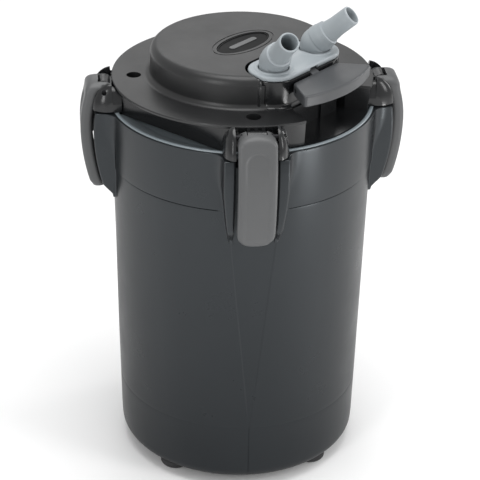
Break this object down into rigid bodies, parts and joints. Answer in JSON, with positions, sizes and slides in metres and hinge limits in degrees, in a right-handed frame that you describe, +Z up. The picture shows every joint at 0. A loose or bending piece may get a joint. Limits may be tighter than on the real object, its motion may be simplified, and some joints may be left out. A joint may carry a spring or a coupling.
{
  "type": "aquarium canister filter",
  "caption": "Round external canister filter with a clipped-on motor head, shut-off lever and two swivelling hose elbows.",
  "frame": {"origin": "centre of the footprint, on the floor under the feet", "axes": "+Z up, -Y towards the lever at the front, +X to the right when seen from the front"},
  "size_m": [0.214, 0.214, 0.3952],
  "materials": {
    "canister_plastic": "moulded charcoal plastic with a soft satin gloss",
    "head_plastic": "moulded black plastic, satin to glossy",
    "badge_plastic": "matte black inset",
    "clip_plastic": "mid-grey matte moulded plastic",
    "lever_plastic": "dark grey matte moulded plastic",
    "port_plastic": "cool light-grey moulded plastic",
    "ring_plastic": "cool light-grey moulded seal frame",
    "basket_plastic": "grey moulded plastic",
    "impeller_plastic": "off-white moulded plastic",
    "rubber": "black rubber",
    "steel": "stainless steel",
    "core_steel": "laminated electrical steel",
    "coil_copper": "enamelled copper winding",
    "magnet": "plastic-coated ferrite magnet",
    "shaft_ceramic": "polished ceramic",
    "media_ceramic": "porous ceramic filter media",
    "foam": "open-cell filter foam",
    "filter_floss": "white polyester floss"
  },
  "bodies": {
    "housing": {"canister": "canister_plastic", "feet": "rubber", "seal_frame": "ring_plastic", "lid_gasket": "rubber", "lid_base": "head_plastic", "head_cover": "head_plastic", "badge": "badge_plastic", "cover_screws": "steel", "clip_pins": "steel", "valve_base": "head_plastic", "valve_top": "head_plastic", "connector_plate": "port_plastic", "port_seals": "rubber", "lever_pin": "steel", "cable_gland": "rubber", "motor_housing": "head_plastic", "motor_screws": "steel", "stator_core": "core_steel", "stator_coil": "coil_copper", "impeller_shaft": "shaft_ceramic", "shaft_bushes": "rubber", "pump_chamber": "basket_plastic", "outlet_duct": "basket_plastic", "intake_tube": "basket_plastic", "basket_lower": "basket_plastic", "basket_middle": "basket_plastic", "basket_upper": "basket_plastic", "coarse_foam": "foam", "bio_media": "media_ceramic", "fine_pad": "filter_floss"},
    "clip_front_left": {"clip_front_left": "clip_plastic"},
    "clip_front_right": {"clip_front_right": "clip_plastic"},
    "clip_rear_left": {"clip_rear_left": "clip_plastic"},
    "clip_rear_right": {"clip_rear_right": "clip_plastic"},
    "lever": {"lever": "lever_plastic"},
    "valve": {"valve_plug_inlet": "port_plastic", "valve_plug_outlet": "port_plastic", "valve_gear": "port_plastic"},
    "elbow_inlet": {"elbow_inlet": "port_plastic"},
    "elbow_outlet": {"elbow_outlet": "port_plastic"},
    "rotor": {"rotor_magnet": "magnet", "impeller": "impeller_plastic"}
  },
  "joints": [
    {"name": "clip_front_left_hinge", "type": "hinge", "parent": "housing", "child": "clip_front_left", "pos_m": [-0.07813, -0.07813, 0.326], "axis": [-0.7071, 0.7071, 0], "range_deg": [0, 65]},
    {"name": "clip_front_right_hinge", "type": "hinge", "parent": "housing", "child": "clip_front_right", "pos_m": [0.07813, -0.07813, 0.326], "axis": [-0.7071, -0.7071, 0], "range_deg": [0, 65]},
    {"name": "clip_rear_left_hinge", "type": "hinge", "parent": "housing", "child": "clip_rear_left", "pos_m": [-0.07813, 0.07813, 0.326], "axis": [0.7071, 0.7071, 0], "range_deg": [0, 65]},
    {"name": "clip_rear_right_hinge", "type": "hinge", "parent": "housing", "child": "clip_rear_right", "pos_m": [0.07813, 0.07813, 0.326], "axis": [0.7071, -0.7071, 0], "range_deg": [0, 65]},
    {"name": "lever_hinge", "type": "hinge", "parent": "housing", "child": "lever", "pos_m": [0, -0.076, 0.34658], "axis": [-1, 0, 0], "range_deg": [0, 60]},
    {"name": "valve_turn", "type": "hinge", "parent": "housing", "child": "valve", "pos_m": [0, -0.051, 0.33], "axis": [-1, 0, 0], "range_deg": [-60, 0]},
    {"name": "elbow_inlet_swivel", "type": "hinge", "parent": "housing", "child": "elbow_inlet", "pos_m": [0.0255, -0.051, 0.35], "axis": [0, 0, 1], "range_deg": [-20, 110]},
    {"name": "elbow_outlet_swivel", "type": "hinge", "parent": "housing", "child": "elbow_outlet", "pos_m": [-0.0255, -0.051, 0.35], "axis": [0, 0, -1], "range_deg": [-20, 110]},
    {"name": "impeller_spin", "type": "hinge", "parent": "housing", "child": "rotor", "pos_m": [0, 0.012, 0.29], "axis": [0, 0, 1], "continuous": true}
  ],
  "couplings": [
    {"joint": "valve_turn", "follows": "lever_hinge", "ratio": -1}
  ]
}
